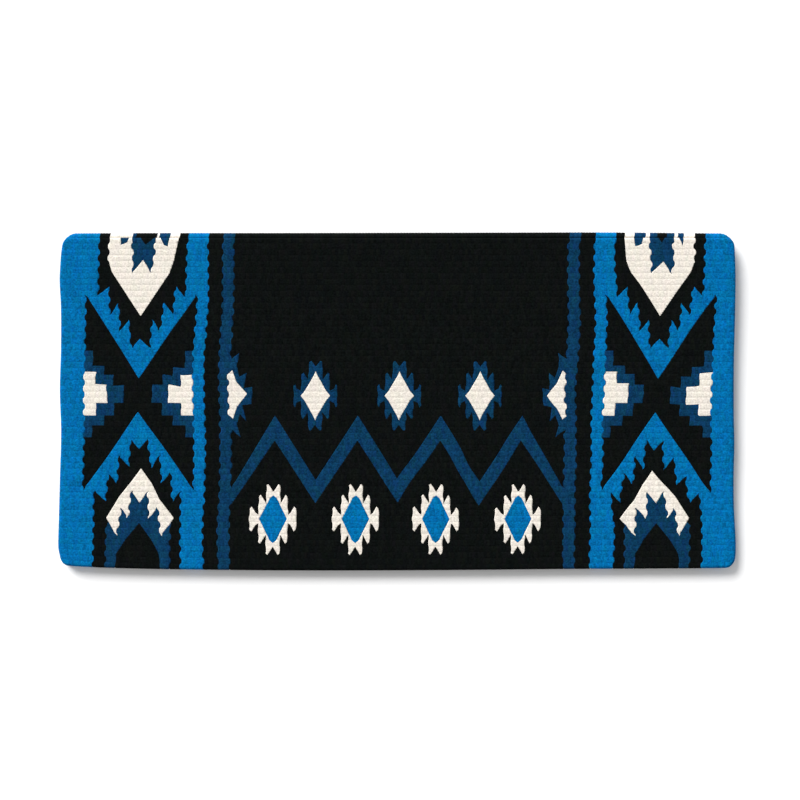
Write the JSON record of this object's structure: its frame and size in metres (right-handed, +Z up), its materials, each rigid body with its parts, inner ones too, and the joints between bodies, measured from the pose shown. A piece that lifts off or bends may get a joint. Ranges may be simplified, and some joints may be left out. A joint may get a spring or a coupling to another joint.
{
  "type": "saddle blanket",
  "caption": "Folded wool saddle blanket in weft-faced tapestry weave, patterned in blue, navy, black and cream; the fold opens out flat.",
  "frame": {"origin": "middle of the folded blanket's box, on the surface that it lies on", "axes": "+X runs across the width along the ribs, +Y runs from the free edges to the fold, +Z is up through the two layers"},
  "size_m": [0.914, 0.4561, 0.0218],
  "materials": {
    "bright_blue_wool": "matt wool weft in bright blue",
    "navy_wool": "matt wool weft in navy",
    "black_wool": "matt wool weft in black",
    "cream_wool": "matt wool weft in undyed cream"
  },
  "bodies": {
    "lower_half": {"under_black_field": "black_wool", "under_left_black_band": "black_wool", "under_left_black_stripe": "black_wool", "under_left_blue_border": "bright_blue_wool", "under_left_blue_strip": "bright_blue_wool", "under_left_navy_stripe": "navy_wool", "under_right_black_band": "black_wool", "under_right_black_stripe": "black_wool", "under_right_blue_border": "bright_blue_wool", "under_right_blue_strip": "bright_blue_wool", "under_right_navy_stripe": "navy_wool"},
    "rib_1": {"fold_rib_1": "black_wool"},
    "rib_2": {"fold_rib_2": "black_wool"},
    "upper_half": {"black_field_above": "black_wool", "black_field_below": "black_wool", "diamond_1_cream": "cream_wool", "diamond_1_navy_halo": "navy_wool", "diamond_2_cream": "cream_wool", "diamond_2_navy_halo": "navy_wool", "diamond_3_cream": "cream_wool", "diamond_3_navy_halo": "navy_wool", "left_black_hourglass": "black_wool", "left_black_stripe": "black_wool", "left_black_triangle": "black_wool", "left_blue_ground": "bright_blue_wool", "left_cream_chevron": "cream_wool", "left_cream_diamond": "cream_wool", "left_half_diamond": "cream_wool", "left_inner_cream_blocks": "cream_wool", "left_inner_navy_steps": "navy_wool", "left_lower_black": "black_wool", "left_navy_centre": "navy_wool", "left_navy_chevron": "navy_wool", "left_outer_cream_blocks": "cream_wool", "left_outer_navy_steps": "navy_wool", "left_upper_black": "black_wool", "navy_zigzag_and_stripes": "navy_wool", "right_black_hourglass": "black_wool", "right_black_stripe": "black_wool", "right_black_triangle": "black_wool", "right_blue_ground": "bright_blue_wool", "right_cream_chevron": "cream_wool", "right_cream_diamond": "cream_wool", "right_half_diamond": "cream_wool", "right_inner_cream_blocks": "cream_wool", "right_inner_navy_steps": "navy_wool", "right_lower_black": "black_wool", "right_navy_centre": "navy_wool", "right_navy_chevron": "navy_wool", "right_outer_cream_blocks": "cream_wool", "right_outer_navy_steps": "navy_wool", "right_upper_black": "black_wool", "star_1_blue_centre": "bright_blue_wool", "star_1_cream_ring": "cream_wool", "star_2_blue_centre": "bright_blue_wool", "star_2_cream_ring": "cream_wool", "star_3_blue_centre": "bright_blue_wool", "star_3_cream_ring": "cream_wool", "star_4_blue_centre": "bright_blue_wool", "star_4_cream_ring": "cream_wool"}
  },
  "joints": [
    {"name": "fold_low", "type": "hinge", "parent": "lower_half", "child": "rib_1", "pos_m": [0, 0.22223, 0.004], "axis": [-1, 0, 0], "range_deg": [0, 60.23]},
    {"name": "fold_mid", "type": "hinge", "parent": "rib_1", "child": "rib_2", "pos_m": [0, 0.2262, 0.01094], "axis": [-1, 0, 0], "range_deg": [0, 60.23]},
    {"name": "fold_top", "type": "hinge", "parent": "rib_2", "child": "upper_half", "pos_m": [0, 0.22214, 0.01784], "axis": [-1, 0, 0], "range_deg": [0, 60.23]}
  ],
  "couplings": [
    {"joint": "fold_low", "follows": "fold_top", "ratio": 1},
    {"joint": "fold_mid", "follows": "fold_top", "ratio": 1}
  ]
}
